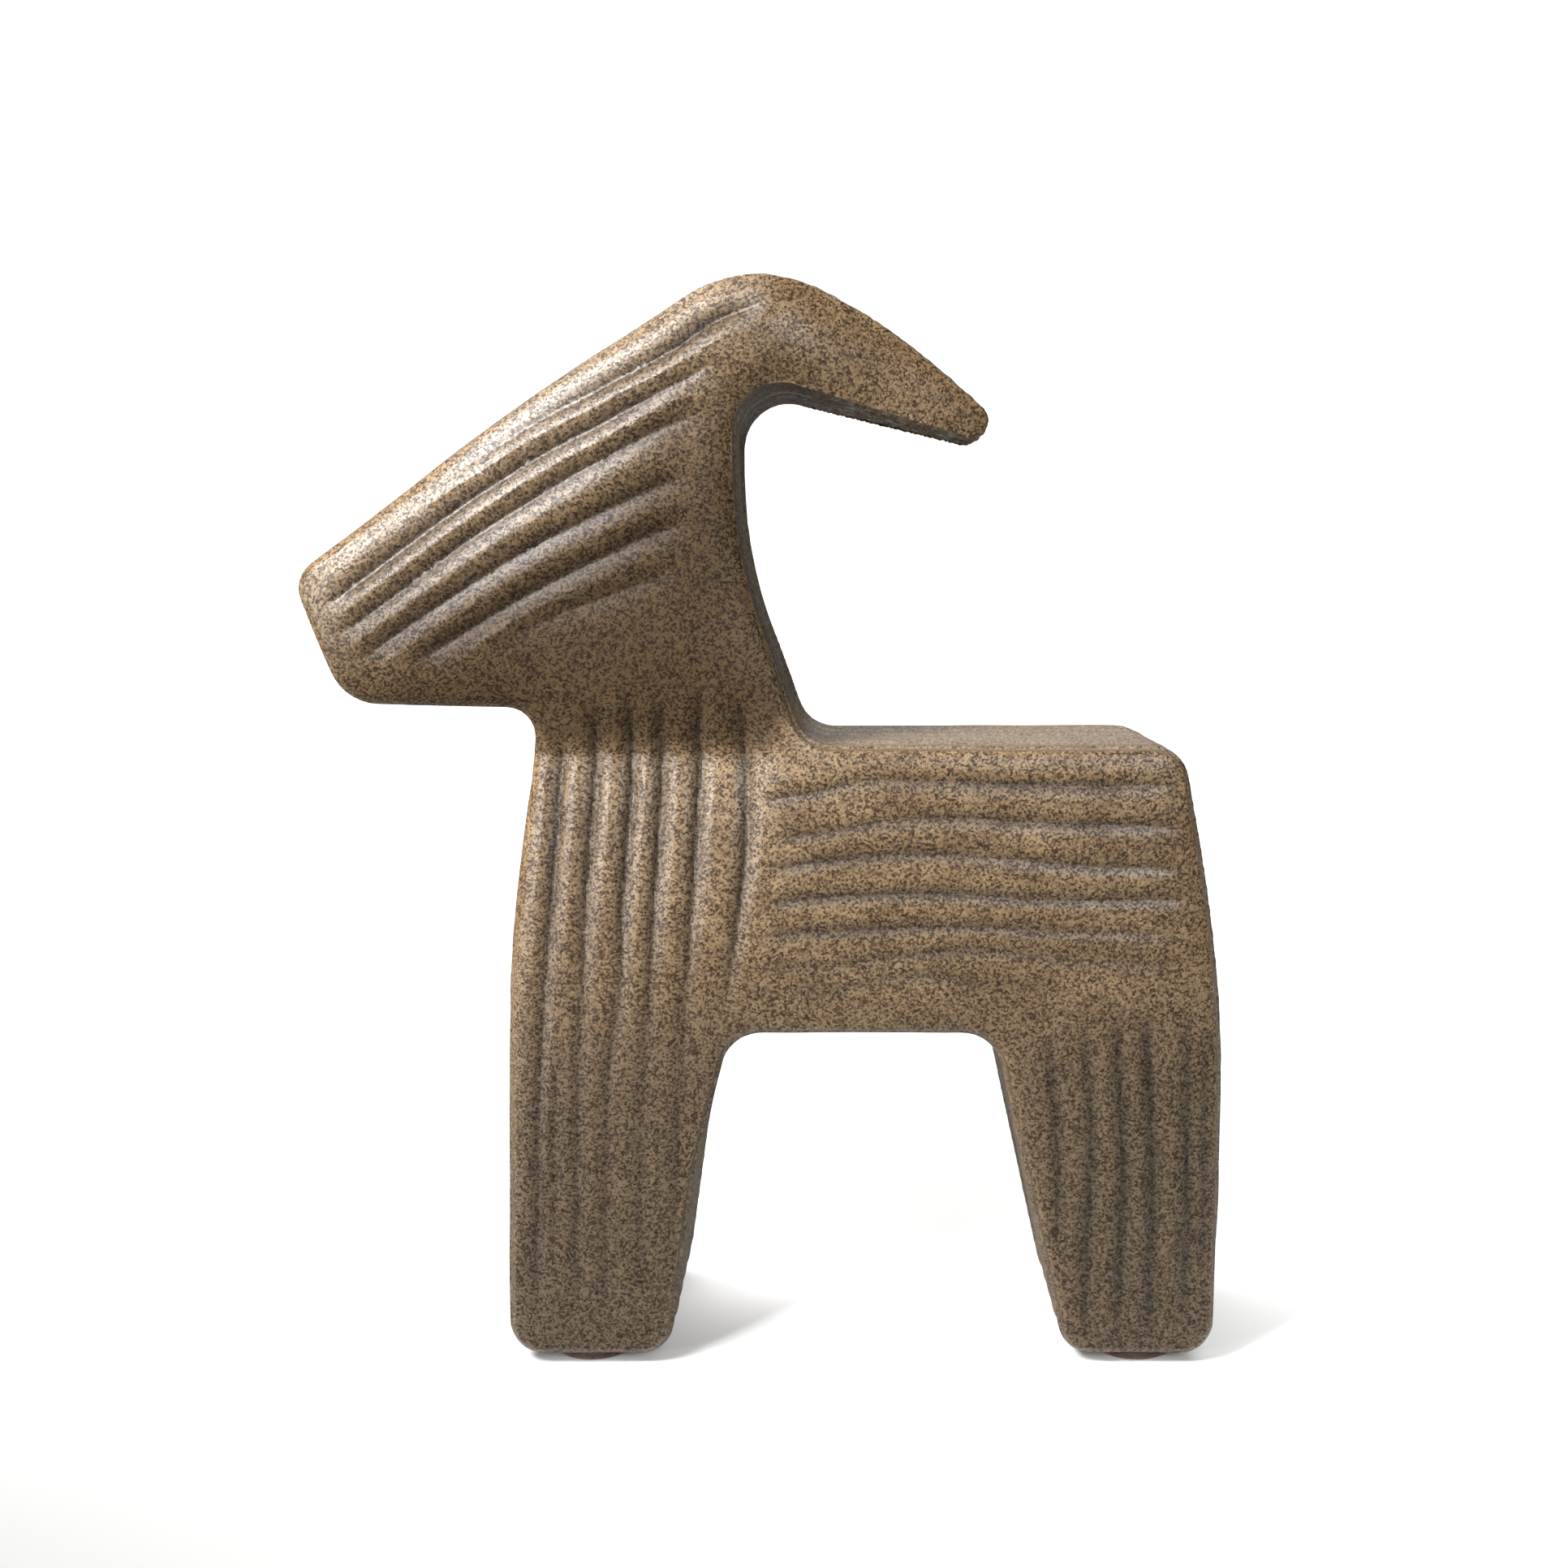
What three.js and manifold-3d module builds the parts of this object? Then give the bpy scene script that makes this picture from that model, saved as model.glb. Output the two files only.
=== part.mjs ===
// A goat ornament of stoneware, slab built: two side slabs cut to the goat's outline, a wall of
// strips between them, a solid horn luted onto the crown, and felt pads under the feet.
// Millimetres, +Z up. The goat faces -X, its left flank is towards -Y, and it stands on z = 0.
import * as THREE from 'three';
import { mergeVertices } from 'three/addons/utils/BufferGeometryUtils.js';
import Module from 'manifold-3d';

const wasm = await Module();
wasm.setup();

// Clay and felt
const depth = 66; // from flank to flank
const sideThickness = 10;
const stripThickness = 8;
const ventRadius = 3; // lets the air out of the hollow in the kiln
const padThickness = 1.2; // the feet stand this far above the shelf
const padRadius = 8.5;
const padSpread = 19; // from the middle plane to a pad's centre

// Heights above the shelf
const crownHeight = 235;
const jawHeight = 141.9;
const backHeight = 136.2;
const chestHeight = 96;
const rumpHeight = 87;
const bellyHeight = 72.5;

// Rises and drops from those heights
const hornBendDrop = 14.3; // below the crown
const hornRootDrop = 22; // below the crown
const browDrop = 29.4; // below the crown
const hornPointDrop = 40.1; // below the crown
const napeRise = 41.8; // above the back
const muzzleRise = 29.1; // above the jaw
const chinRise = 1; // above the jaw
const kneeDrop = 30.5; // below the belly

// Lengths from the upright line under the crown, towards the muzzle
const muzzleReach = 100.8;
const chestReach = 56.8;
const crownFrontReach = 9.6;
const napeReach = 5.2;

// Lengths from the upright line under the crown, towards the rump
const crownBackReach = 8.8;
const hornBendReach = 33.2;
const hornPointReach = 62.8;
const rumpReach = 100.5;

// Lengths from those places
const chinSetback = 11.3; // behind the muzzle
const browSetback = 44.2; // behind the muzzle
const throatSetback = 7.6; // behind the chest
const frontFootLength = 36.5;
const kneeLean = 5.6; // behind the front heel
const frontArchLean = 13.4; // behind the front heel
const seatTopSetback = 10.1; // behind the front of the crown
const seatBottomSetback = 13.7; // behind the nape
const withersSetback = 14.4; // behind the nape
const rumpTopLean = 11.1; // before the rump
const hindHeelLean = 2.1; // before the rump
const hindFootLength = 33.8;
const hindArchLean = 15.7; // before the hind toe

// Radii that round the outline in the side view
const muzzleRadius = 7.5;
const browRadius = 400;
const crownRadius = 30;
const hornBendRadius = 130;
const hornTipRadius = 4.6;
const hornRootRadius = 9.5;
const napeRadius = 100;
const withersRadius = 8;
const rumpTopRadius = 9;
const rumpRadius = 300;
const footRadius = 8;
const archRadius = 8;
const kneeRadius = 150;
const chestRadius = 420;
const throatRadius = 4.5;
const chinRadius = 12;

// Rounding of the edge between a flank and the narrow faces
const wideEdge = 9; // forehead, crown and chest
const rumpEdge = 7;
const jawEdge = 6.5;
const hornEdge = 6;
const slimEdge = 5; // inner sides, back and feet
const muzzleEdge = 5;
const hornTipEdge = 4.4;

// The flanks are crowned: from this far inside the outline they fall away towards it
const crownedWidth = 32;
const bodyFall = 1.6;
const headFall = 4.2;
const headFallRise = 20; // above the jaw, where the head's fall is reached

// The neck dips under the jaw, and the dip runs out before the flank
const neckDip = 2.8;
const neckDipDrop = 8.9; // below the jaw
const neckDipAbove = 24; // from its deepest line up to its upper end
const neckDipBelow = 44; // from its deepest line down to its lower end
const neckDipSetback = 13.4; // its end, behind the nape
const neckDipFade = 20;

// The horn narrows from the full depth at its seat to this depth at the point its edges aim at
const hornPointDepth = 20;

// Fineness of the facets
const facetError = 0.05; // most that a facet cuts off a corner's arc
const edgeSteps = 5;
const roundSides = 28;
const flankFacet = 16; // longest facet edge inside a crowned flank
const mostOfEdge = 0.96; // arcs leave a little of each edge straight
const mostOfWall = 0.96; // an edge's rounding stays within its slab

const halfDepth = depth / 2;
const halfHollow = halfDepth - sideThickness;
const footHeight = padThickness;

const stoneware = new THREE.MeshStandardMaterial({ color: 0x8f8069, roughness: 0.5, metalness: 0 });
const felt = new THREE.MeshStandardMaterial({ color: 0x6a4634, roughness: 0.95, metalness: 0 });

// Places that more than one corner starts from, with +X towards the rump
const muzzlePlace = -muzzleReach;
const chestPlace = -chestReach;
const napePlace = -napeReach;
const frontHeelPlace = chestPlace + frontFootLength;
const hindHeelPlace = rumpReach - hindHeelLean;
const hindToePlace = hindHeelPlace - hindFootLength;
const hornRootHeight = crownHeight - hornRootDrop;
const hornPointHeight = crownHeight - hornPointDrop;

// A corner of an outline in the side view: its place, the radius that rounds it, and the rounding of
// the slab's edge there. Two seat corners in a row enclose a flat joint face.
function corner(place, height, radius, wantedEdge, seat = false) {
  const edge = Math.min(wantedEdge, mostOfWall * sideThickness);
  return { point: new THREE.Vector2(place, height), radius, edge, seat };
}

// The horn's lower edge runs from the root to the point, and the seat cuts it off
function hornUndersideAt(place) {
  const share = (place - napePlace) / (hornPointReach - napePlace);
  return THREE.MathUtils.lerp(hornRootHeight, hornPointHeight, share);
}

const seatBottomPlace = napePlace + seatBottomSetback;
const seatTop = corner(seatTopSetback - crownFrontReach, crownHeight, 0, wideEdge, true);
const seatBottom = corner(seatBottomPlace, hornUndersideAt(seatBottomPlace), 0, slimEdge, true);
const hornPoint = corner(hornPointReach, hornPointHeight, hornTipRadius, hornTipEdge);

// The body's corners, clockwise as seen from the goat's left
const body = {
  muzzle: corner(muzzlePlace, jawHeight + muzzleRise, muzzleRadius, muzzleEdge),
  brow: corner(muzzlePlace + browSetback, crownHeight - browDrop, browRadius, wideEdge),
  crown: corner(-crownFrontReach, crownHeight, crownRadius, wideEdge),
  seatTop,
  seatBottom,
  hornRoot: corner(napePlace, hornRootHeight, hornRootRadius, slimEdge),
  nape: corner(napePlace, backHeight + napeRise, napeRadius, slimEdge),
  withers: corner(napePlace + withersSetback, backHeight, withersRadius, slimEdge),
  rumpTop: corner(rumpReach - rumpTopLean, backHeight, rumpTopRadius, slimEdge),
  rump: corner(rumpReach, rumpHeight, rumpRadius, rumpEdge),
  hindHeel: corner(hindHeelPlace, footHeight, footRadius, slimEdge),
  hindToe: corner(hindToePlace, footHeight, footRadius, slimEdge),
  hindArch: corner(hindToePlace - hindArchLean, bellyHeight, archRadius, slimEdge),
  frontArch: corner(frontHeelPlace + frontArchLean, bellyHeight, archRadius, slimEdge),
  knee: corner(frontHeelPlace + kneeLean, bellyHeight - kneeDrop, kneeRadius, slimEdge),
  frontHeel: corner(frontHeelPlace, footHeight, footRadius, slimEdge),
  frontToe: corner(chestPlace, footHeight, footRadius, slimEdge),
  chest: corner(chestPlace, chestHeight, chestRadius, wideEdge),
  throat: corner(chestPlace + throatSetback, jawHeight, throatRadius, jawEdge),
  chin: corner(muzzlePlace + chinSetback, jawHeight + chinRise, chinRadius, jawEdge),
};

const hornCorners = [
  seatTop,
  corner(crownBackReach, crownHeight, crownRadius, wideEdge),
  corner(hornBendReach, crownHeight - hornBendDrop, hornBendRadius, hornEdge),
  hornPoint,
  seatBottom,
];

const bodyCorners = Object.values(body);

// Each strip of the wall runs clockwise from the middle of one corner to the middle of another
const stripEnds = {
  forehead_strip: ['muzzle', 'seatTop'],
  nape_strip: ['seatBottom', 'withers'],
  back_strip: ['withers', 'rumpTop'],
  rump_strip: ['rumpTop', 'hindHeel'],
  hind_sole: ['hindHeel', 'hindToe'],
  hind_leg_strip: ['hindToe', 'hindArch'],
  belly_strip: ['hindArch', 'frontArch'],
  front_leg_strip: ['frontArch', 'frontHeel'],
  front_sole: ['frontHeel', 'frontToe'],
  chest_strip: ['frontToe', 'throat'],
  jaw_strip: ['throat', 'chin'],
  muzzle_strip: ['chin', 'muzzle'],
};

// The corners on both sides of corner i of a closed outline
function neighbours(corners, i) {
  return [corners.at(i - 1), corners[(i + 1) % corners.length]];
}

// The direction into the clay, square to the edge between two corners
function inward(from, to) {
  const along = to.point.clone().sub(from.point).normalize();
  return new THREE.Vector2(along.y, -along.x);
}

// The way a corner moves for each millimetre that its edges move inwards. A seat stays in its plane.
function insetDirection(before, here, after) {
  const a = inward(before, here);
  const b = inward(here, after);
  if (!here.seat) {
    return a.clone().add(b).divideScalar(1 + a.dot(b));
  }
  const aMoves = before.seat ? 0 : 1;
  const bMoves = after.seat ? 0 : 1;
  const cross = a.cross(b);
  return new THREE.Vector2((aMoves * b.y - bMoves * a.y) / cross, (bMoves * a.x - aMoves * b.x) / cross);
}

// The outline's corners moved into the clay, each by the distance that insetOf gives for it
function insetCorners(corners, insetOf) {
  return corners.map((here, i) => {
    const [before, after] = neighbours(corners, i);
    const inset = insetOf(here);
    const point = here.point.clone().addScaledVector(insetDirection(before, here, after), inset);
    const convex = inward(before, here).cross(inward(here, after)) < 0;
    const radius = convex ? Math.max(here.radius - inset, 0) : here.radius + inset;
    return { ...here, point, radius };
  });
}

// Half of the angle by which the outline turns at a corner
function halfTurn(before, here, after) {
  return inward(before, here).angleTo(inward(here, after)) / 2;
}

// An even number of facets round each corner, so that a corner's middle is a point of the outline
function facetCounts(corners) {
  return corners.map((here, i) => {
    const [before, after] = neighbours(corners, i);
    if (here.seat) {
      return 0;
    }
    const step = 2 * Math.acos(1 - facetError / here.radius);
    return 2 * Math.ceil(halfTurn(before, here, after) / step);
  });
}

// How much of each edge a corner's arc takes up. Arcs that would meet share the edge between them.
function arcReaches(corners) {
  const wanted = corners.map((here, i) => {
    const [before, after] = neighbours(corners, i);
    return here.radius * Math.tan(halfTurn(before, here, after));
  });
  return wanted.map((reach, i) => {
    const last = (i + corners.length - 1) % corners.length;
    const next = (i + 1) % corners.length;
    const shares = [last, next].map((other) => {
      const room = mostOfEdge * corners[i].point.distanceTo(corners[other].point);
      return room / Math.max(reach + wanted[other], room);
    });
    return reach * Math.min(...shares);
  });
}

// One corner as points along its arc
function arcPoints(before, here, after, reach, facets) {
  const toBefore = before.point.clone().sub(here.point).normalize();
  const toAfter = after.point.clone().sub(here.point).normalize();
  if (facets === 0 || reach === 0) {
    return Array.from({ length: facets + 1 }, () => here.point.clone());
  }
  const half = halfTurn(before, here, after);
  const radius = reach / Math.tan(half);
  const toCentre = toBefore.clone().add(toAfter).normalize();
  const centre = here.point.clone().addScaledVector(toCentre, radius / Math.cos(half));
  const start = here.point.clone().addScaledVector(toBefore, reach);
  const facetTurn = (2 * half * Math.sign(toAfter.cross(toBefore))) / facets;
  return Array.from({ length: facets + 1 }, (_, k) => start.clone().rotateAround(centre, k * facetTurn));
}

// The rounded outline as one list of points for each corner
function roundedOutline(corners, facets) {
  const reaches = arcReaches(corners);
  return corners.map((here, i) => {
    const [before, after] = neighbours(corners, i);
    return arcPoints(before, here, after, reaches[i], facets[i]);
  });
}

// A ring of points at one angle of the edge rounding: 0 where it leaves the narrow face, a quarter
// turn where it meets the flank
function edgeRing(corners, angle) {
  const insets = insetCorners(corners, (here) => here.edge * (1 - Math.cos(angle)));
  const outline = roundedOutline(insets, facetCounts(corners));
  return outline.flatMap((points, i) => {
    const across = halfDepth - corners[i].edge * (1 - Math.sin(angle));
    return points.map((point) => new THREE.Vector3(point.x, across, point.y));
  });
}

function edgeRings(corners) {
  const quarterTurn = Math.PI / 2;
  return Array.from({ length: edgeSteps + 1 }, (_, k) => edgeRing(corners, (quarterTurn * k) / edgeSteps));
}

// The goat's outline as lines in its middle plane, without the seat that the horn covers
function outlineLines() {
  return [bodyCorners, hornCorners].flatMap((corners) => {
    const points = roundedOutline(corners, facetCounts(corners)).map((arc) =>
      arc.map((point) => new THREE.Vector3(point.x, 0, point.y)),
    );
    const arcs = points.flatMap((arc) => arc.slice(1).map((point, k) => new THREE.Line3(arc[k], point)));
    const edges = points.map((arc, i) => {
      const next = (i + 1) % corners.length;
      return corners[i].seat && corners[next].seat ? [] : [new THREE.Line3(arc.at(-1), points[next][0])];
    });
    return [...arcs, ...edges.flat()];
  });
}

function distanceToOutline(place, height) {
  const point = new THREE.Vector3(place, 0, height);
  const nearest = new THREE.Vector3();
  return Math.min(...goatLines.map((line) => line.closestPointToPoint(point, true, nearest).distanceTo(point)));
}

// How far the flank lies below the full depth: the fall towards the outline and the dip of the neck
function flankDrop(place, height) {
  const { clamp, lerp, smoothstep } = THREE.MathUtils;
  const fall = lerp(bodyFall, headFall, smoothstep(height, jawHeight, jawHeight + headFallRise));
  const crown = Math.max(1 - distanceToOutline(place, height) / crownedWidth, 0) ** 2;
  const overDip = height - (jawHeight - neckDipDrop);
  const dip = 1 - clamp(overDip > 0 ? overDip / neckDipAbove : -overDip / neckDipBelow, 0, 1);
  const dipEnd = napePlace + neckDipSetback;
  return fall * crown + neckDip * dip * (1 - smoothstep(place, dipEnd - neckDipFade, dipEnd));
}

// A point of a side slab of full thickness, moved in with the crowned flank. The inner face stays.
function crowned({ x, y, z }) {
  const overHollow = Math.max(Math.abs(y) - halfHollow, 0);
  const drop = (overHollow / sideThickness) * flankDrop(x, z);
  return new THREE.Vector3(x, y - Math.sign(y) * drop, z);
}

// A face with some of its edges split in the middle, as a fan from the first middle
function splitFace(face, middleOf) {
  const middles = face.map((a, k) => middleOf(a, face[(k + 1) % 3]));
  const first = middles.findIndex((middle) => middle !== null);
  if (first < 0) {
    return [face];
  }
  const ring = [0, 1, 2].flatMap((k) => {
    const edge = (first + k) % 3;
    return [face[edge], middles[edge]].filter((point) => point !== null);
  });
  const turned = [...ring.slice(1), ring[0]];
  return turned.slice(2).map((point, k) => [turned[0], turned[k + 1], point]);
}

// A solid made at full depth, given more points on its flanks and then its shape: the edges of the
// flat flanks are split in the middle until none is longer than a facet may be
function shapedFlanks(geometry, shape) {
  const position = geometry.attributes.position;
  const points = Array.from({ length: position.count }, (_, i) =>
    new THREE.Vector3().fromBufferAttribute(position, i),
  );
  const order = geometry.index.array;
  let faces = Array.from({ length: order.length / 3 }, (_, k) => Array.from(order.slice(3 * k, 3 * k + 3)));
  const edgeKey = (a, b) => `${Math.min(a, b)} ${Math.max(a, b)}`;
  const onFlank = (i) => halfDepth - Math.abs(points[i].y) < facetError;
  const isLong = (a, b) => onFlank(a) && onFlank(b) && points[a].distanceTo(points[b]) > flankFacet;
  for (let count = 0; count < faces.length; ) {
    count = faces.length;
    const middles = new Map();
    const middleOf = (a, b) => {
      if (!isLong(a, b)) {
        return null;
      }
      const key = edgeKey(a, b);
      if (!middles.has(key)) {
        middles.set(key, points.push(points[a].clone().lerp(points[b], 0.5)) - 1);
      }
      return middles.get(key);
    };
    faces = faces.flatMap((face) => splitFace(face, middleOf));
  }
  return new THREE.BufferGeometry().setFromPoints(points.map(shape)).setIndex(faces.flat());
}

// A closed solid through a stack of rings of equal length, clockwise rings ordered towards -Y
function solidThroughRings(rings) {
  const count = rings[0].length;
  const index = [];
  for (let layer = 0; layer + 1 < rings.length; layer += 1) {
    for (let i = 0; i < count; i += 1) {
      const a = layer * count + i;
      const b = layer * count + ((i + 1) % count);
      index.push(a, a + count, b, b, a + count, b + count);
    }
  }
  const addCap = (ring, first, towardsViewer) => {
    const contour = ring.map((p) => new THREE.Vector2(p.x, p.z));
    for (const face of THREE.ShapeUtils.triangulateShape(contour, [])) {
      const [p, q, r] = face.map((i) => contour[i]);
      const turnsLeft = q.clone().sub(p).cross(r.clone().sub(p)) > 0;
      const ordered = turnsLeft === towardsViewer ? face : [...face].reverse();
      index.push(...ordered.map((i) => first + i));
    }
  };
  addCap(rings[0], 0, false);
  addCap(rings.at(-1), (rings.length - 1) * count, true);
  const geometry = new THREE.BufferGeometry().setFromPoints(rings.flat());
  geometry.setIndex(index);
  return mergeVertices(geometry);
}

function mirrored(ring) {
  return ring.map((p) => new THREE.Vector3(p.x, -p.y, p.z));
}

// A side slab: flat inside, crowned outside and rounded along its outer edge. side is -1 for the
// left and 1 for the right.
function sideSlab(corners, side) {
  const outerRings = edgeRings(corners);
  const innerRing = outerRings[0].map((p) => new THREE.Vector3(p.x, halfHollow, p.z));
  const rings = [innerRing, ...outerRings];
  const plain = side < 0 ? solidThroughRings(rings.map(mirrored)) : solidThroughRings(rings.reverse());
  return shapedFlanks(plain, crowned);
}

// The solid horn, rounded along both edges and narrowing towards its tip
function hornSolid() {
  const fromSeat = inward(seatBottom, seatTop);
  const reach = (x, z) => new THREE.Vector2(x, z).sub(seatTop.point).dot(fromSeat);
  const fullReach = reach(hornPoint.point.x, hornPoint.point.y);
  const narrowed = ({ x, y, z }) => {
    const share = reach(x, z) / fullReach;
    return new THREE.Vector3(x, y * THREE.MathUtils.lerp(1, hornPointDepth / depth, share), z);
  };
  const rightRings = edgeRings(hornCorners);
  const plain = solidThroughRings([...rightRings.toReversed(), ...rightRings.map(mirrored)]);
  return shapedFlanks(plain, (point) => narrowed(crowned(point)));
}

// The length of the outline between two named corners, as points from middle to middle
function stretch(outline, names, from, to) {
  const first = names.indexOf(from);
  const steps = (names.indexOf(to) - first + names.length) % names.length;
  const points = [];
  for (let k = 0; k <= steps; k += 1) {
    const arc = outline[(first + k) % names.length];
    const middle = (arc.length - 1) / 2;
    points.push(...arc.slice(k === 0 ? middle : 0, k === steps ? middle + 1 : arc.length));
  }
  return points.filter((point, i) => i === 0 || !point.equals(points[i - 1]));
}

// A strip of the wall between the side slabs
function wallStrip(outer, inner, names, [from, to]) {
  const outside = stretch(outer, names, from, to);
  const inside = stretch(inner, names, from, to);
  const section = new THREE.Shape([...outside, ...inside.reverse()]);
  const geometry = new THREE.ExtrudeGeometry(section, { depth: 2 * halfHollow, bevelEnabled: false });
  geometry.rotateX(Math.PI / 2);
  return geometry.translate(0, halfHollow, 0);
}

function asManifold(geometry) {
  const plain = geometry.clone();
  plain.deleteAttribute('normal');
  plain.deleteAttribute('uv');
  const merged = mergeVertices(plain);
  const vertProperties = new Float32Array(merged.attributes.position.array);
  const triVerts = new Uint32Array(merged.index.array);
  return new wasm.Manifold(new wasm.Mesh({ numProp: 3, vertProperties, triVerts }));
}

function cut(geometry, tool) {
  const mesh = asManifold(geometry).subtract(asManifold(tool)).getMesh();
  const result = new THREE.BufferGeometry();
  result.setAttribute('position', new THREE.BufferAttribute(mesh.vertProperties, mesh.numProp));
  return result.setIndex(new THREE.BufferAttribute(mesh.triVerts, 1));
}

// An upright round bar, used for pads and for the vent
function uprightBar(radius, height, place, across, bottom) {
  const bar = new THREE.CylinderGeometry(radius, radius, height, roundSides);
  bar.rotateX(Math.PI / 2);
  return bar.translate(place, across, bottom + height / 2);
}

function namedMesh(name, geometry, material) {
  const mesh = new THREE.Mesh(geometry, material);
  mesh.name = name;
  return mesh;
}

const goat = new THREE.Group();
const bodyNames = Object.keys(body);
const goatLines = outlineLines();

goat.add(namedMesh('left_side', sideSlab(bodyCorners, -1), stoneware));
goat.add(namedMesh('right_side', sideSlab(bodyCorners, 1), stoneware));
goat.add(namedMesh('horn', hornSolid(), stoneware));

const bodyFacets = facetCounts(bodyCorners);
const outerOutline = roundedOutline(bodyCorners, bodyFacets);
const hollowOutline = roundedOutline(insetCorners(bodyCorners, () => stripThickness), bodyFacets);
const frontFootPlace = frontHeelPlace - frontFootLength / 2;
const hindFootPlace = hindHeelPlace - hindFootLength / 2;

// The vent runs through the hind sole and past both its faces
const vent = uprightBar(ventRadius, 2 * stripThickness, hindFootPlace, 0, footHeight - stripThickness / 2);

for (const [name, ends] of Object.entries(stripEnds)) {
  const plain = wallStrip(outerOutline, hollowOutline, bodyNames, ends);
  goat.add(namedMesh(name, name === 'hind_sole' ? cut(plain, vent) : plain, stoneware));
}

for (const [foot, place] of [['front', frontFootPlace], ['hind', hindFootPlace]]) {
  for (const [flank, side] of [['left', -1], ['right', 1]]) {
    const pad = uprightBar(padRadius, padThickness, place, side * padSpread, 0);
    goat.add(namedMesh(`${foot}_${flank}_pad`, pad, felt));
  }
}

// The origin lies on the shelf, under the middle of the goat's length
const box = new THREE.Box3().setFromObject(goat);
goat.position.x = -(box.min.x + box.max.x) / 2;

export default goat;
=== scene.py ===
# %% [markdown]
# # A combed stoneware goat
# The frame holds the goat as bare clay: two side slabs, a horn, twelve wall strips and four felt
# pads. This lesson combs and glazes that clay. First it loads the frame and takes the goat's half
# depth from the box of a side slab.

import math

import bmesh
import bpy
import numpy as np
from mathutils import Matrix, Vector


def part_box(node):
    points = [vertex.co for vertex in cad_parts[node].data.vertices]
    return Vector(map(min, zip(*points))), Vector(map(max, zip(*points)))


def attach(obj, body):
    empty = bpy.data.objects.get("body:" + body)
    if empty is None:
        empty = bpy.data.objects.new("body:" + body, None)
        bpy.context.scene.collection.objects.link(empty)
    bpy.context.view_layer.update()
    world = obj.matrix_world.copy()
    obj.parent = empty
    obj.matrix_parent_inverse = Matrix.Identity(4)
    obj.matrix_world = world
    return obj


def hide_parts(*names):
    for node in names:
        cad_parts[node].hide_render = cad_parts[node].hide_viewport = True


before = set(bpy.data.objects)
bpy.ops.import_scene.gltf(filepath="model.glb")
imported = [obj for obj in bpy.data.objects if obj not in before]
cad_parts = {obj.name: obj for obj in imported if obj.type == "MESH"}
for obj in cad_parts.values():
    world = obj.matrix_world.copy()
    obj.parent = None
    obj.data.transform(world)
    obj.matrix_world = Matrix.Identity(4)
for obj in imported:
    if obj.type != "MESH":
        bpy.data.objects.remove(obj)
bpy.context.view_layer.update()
MM = 0.001
half_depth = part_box("right_side")[1].y
clay_nodes = sorted(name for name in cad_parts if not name.endswith("_pad"))
pad_nodes = sorted(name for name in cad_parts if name.endswith("_pad"))
print("clay pieces:", len(clay_nodes), "pads:", len(pad_nodes))

# %% [markdown]
# The camera stands where the picture was taken from: a little above the back, looking slightly down,
# with the lens axis right of the picture's middle. The focal length was found in pixels of a square
# picture, so it is turned into millimetres on Blender's 36 mm sensor. A camera turned sideways would
# slant the long level edges, so the sideways framing is done with lens shift instead.

# %% The camera
PICTURE_WIDTH = 1932
FOCAL_PIXELS = 2400
LENS_AXIS_PIXEL = 1040
SENSOR_WIDTH = 36
LENS_PLACE = Vector((16.87, -438.57, 171.85)) * MM
LOOKING_DOWN = math.radians(6.2065)
NEAREST_SEEN = 10 * MM
camera_data = bpy.data.cameras.new("camera")
camera_data.sensor_width = SENSOR_WIDTH
camera_data.lens = SENSOR_WIDTH * FOCAL_PIXELS / PICTURE_WIDTH
camera_data.shift_x = (PICTURE_WIDTH / 2 - LENS_AXIS_PIXEL) / PICTURE_WIDTH
camera_data.clip_start = NEAREST_SEEN
camera = bpy.data.objects.new("camera", camera_data)
camera.location = LENS_PLACE
camera.rotation_euler = (math.pi / 2 - LOOKING_DOWN, 0, 0)
bpy.context.scene.collection.objects.link(camera)
bpy.context.scene.camera = camera
print("lens:", round(camera_data.lens, 2), "mm, shift:", round(camera_data.shift_x, 4))

# %% [markdown]
# Node trees are easier to read as sums than as boxes and wires. A Wire holds one output socket, and
# adding, multiplying or dividing wires adds the Math nodes that do it. Every other node comes from
# Wire.node, which sets a node's own settings first, because they decide which sockets it has.

# %% Sums of sockets


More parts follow.
